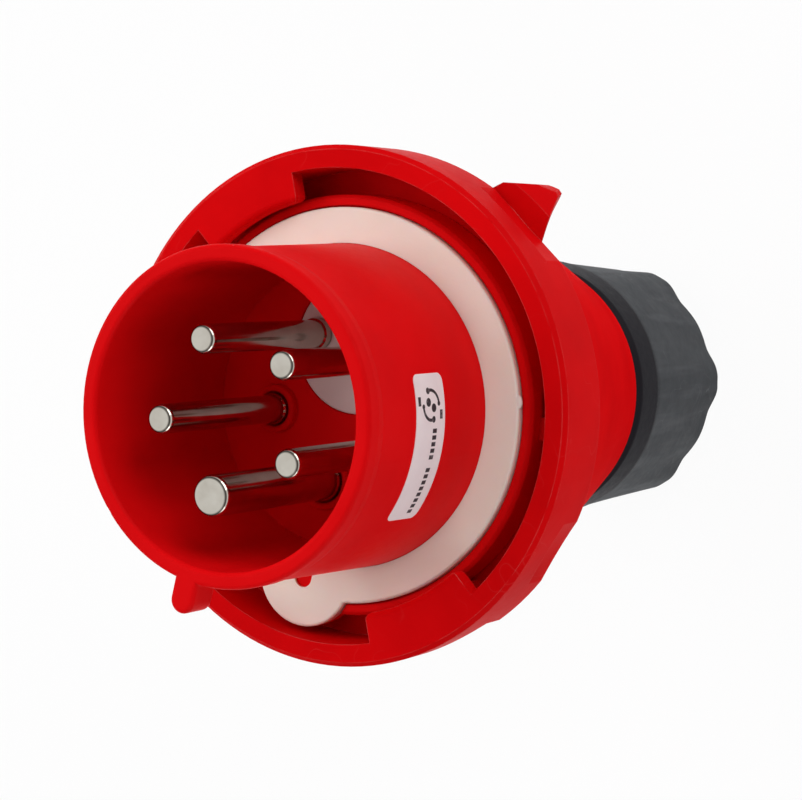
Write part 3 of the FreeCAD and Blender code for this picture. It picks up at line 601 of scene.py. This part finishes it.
# Camera. It looks at the pins from the right, about a third of a right angle off the
# plug's axis, with the key at the bottom of the picture.
view_right = Vector((0.839752, 0.218262, -0.497170))
view_down = Vector((0.277413, -0.959586, 0.047302))
view_ahead = Vector((-0.466753, -0.177643, -0.866363))
camera_data = bpy.data.cameras.new("camera")
camera_data.lens = 104.2
camera_data.sensor_width = 36.0
camera_data.clip_start = 0.01
camera = bpy.data.objects.new("camera", camera_data)
bpy.context.scene.collection.objects.link(camera)
facing = Matrix((view_right, -view_down, -view_ahead)).transposed().to_4x4()
camera.matrix_world = Matrix.Translation((0.198416, 0.075569, 0.460624)) @ facing
bpy.context.scene.camera = camera

# Studio. A pale floor under the plug, large soft lamps round the camera and a white world.
# The camera sees nearly through the floor to that white. The floor still bounces light and
# keeps a faint soft shadow, and lets lamps reach the nut where it is unscrewed below it.
middle = Vector((0, 0, 0.1))
world_light = 0.08
floor_clear = 0.95
floor_half = 4.0


def softbox(name, right, up, near, size, power, mirrored=True):
    """A square lamp placed from the middle of the plug along the picture's own axes."""
    lamp_data = bpy.data.lights.new(name, "AREA")
    lamp_data.shape = "SQUARE"
    lamp_data.size = size
    lamp_data.energy = power
    lamp = bpy.data.objects.new(name, lamp_data)
    lamp.visible_glossy = mirrored
    place = middle + view_right * right - view_down * up - view_ahead * near
    aim = (middle - place).to_track_quat("-Z", "Y")
    lamp.matrix_world = Matrix.Translation(place) @ aim.to_matrix().to_4x4()
    bpy.context.scene.collection.objects.link(lamp)


softbox("lamp front right", 0.35, 0.75, 0.75, 0.8, 6.8)
softbox("lamp left", -0.9, 0.0, 0.75, 1.4, 5.0, mirrored=False)
softbox("lamp far left", -1.1, 0.35, 0.2, 1.0, 6.8, mirrored=False)
softbox("lamp below", 0.1, -0.9, 0.4, 0.6, 3.4)


def straight_rays(tree):
    """The light path's outputs, and 1 for rays from the camera, a mirror or clear material."""
    seen = tree.nodes.new("ShaderNodeLightPath").outputs
    direct = maths(tree, "MAXIMUM", seen["Is Glossy Ray"], seen["Is Transmission Ray"])
    return seen, maths(tree, "MAXIMUM", seen["Is Camera Ray"], direct)


def join_shaders(tree, share, first, second, output):
    """Mixes two shaders by share and joins them to the output's surface."""
    mix = tree.nodes.new("ShaderNodeMixShader")
    tree.links.new(share, mix.inputs["Fac"])
    tree.links.new(first.outputs[0], mix.inputs[1])
    tree.links.new(second.outputs[0], mix.inputs[2])
    tree.links.new(mix.outputs[0], tree.nodes[output].inputs["Surface"])


world = bpy.data.worlds.new("studio")
bpy.context.scene.world = world
world.use_nodes = True
tree = world.node_tree
lit = tree.nodes["Background"]
white = tree.nodes.new("ShaderNodeBackground")
for light, strength in ((lit, world_light), (white, 1.0)):
    light.inputs["Color"].default_value = (1, 1, 1, 1)
    light.inputs["Strength"].default_value = strength
seen, straight = straight_rays(tree)
join_shaders(tree, straight, lit, white, "World Output")

floor_mesh = bpy.data.meshes.new("floor")
corners = [(x * floor_half, y * floor_half, 0) for x, y in ((-1, -1), (1, -1), (1, 1), (-1, 1))]
floor_mesh.from_pydata(corners, [], [(0, 1, 2, 3)])
floor = bpy.data.objects.new("floor", floor_mesh)
bpy.context.scene.collection.objects.link(floor)
floor_white, tree, shader = new_material("floor white")
shader.inputs["Base Color"].default_value = (0.86, 0.86, 0.86, 1)
shader.inputs["Roughness"].default_value = 0.9
shader.inputs["Specular IOR Level"].default_value = 0.1
clear = tree.nodes.new("ShaderNodeBsdfTransparent")
seen, straight = straight_rays(tree)
see_through = maths(tree, "MULTIPLY", straight, floor_clear)
see_through = maths(tree, "MAXIMUM", see_through, seen["Is Shadow Ray"])
join_shaders(tree, see_through, shader, clear, "Material Output")
floor_mesh.materials.append(floor_white)

bpy.context.scene.view_settings.view_transform = "Standard"
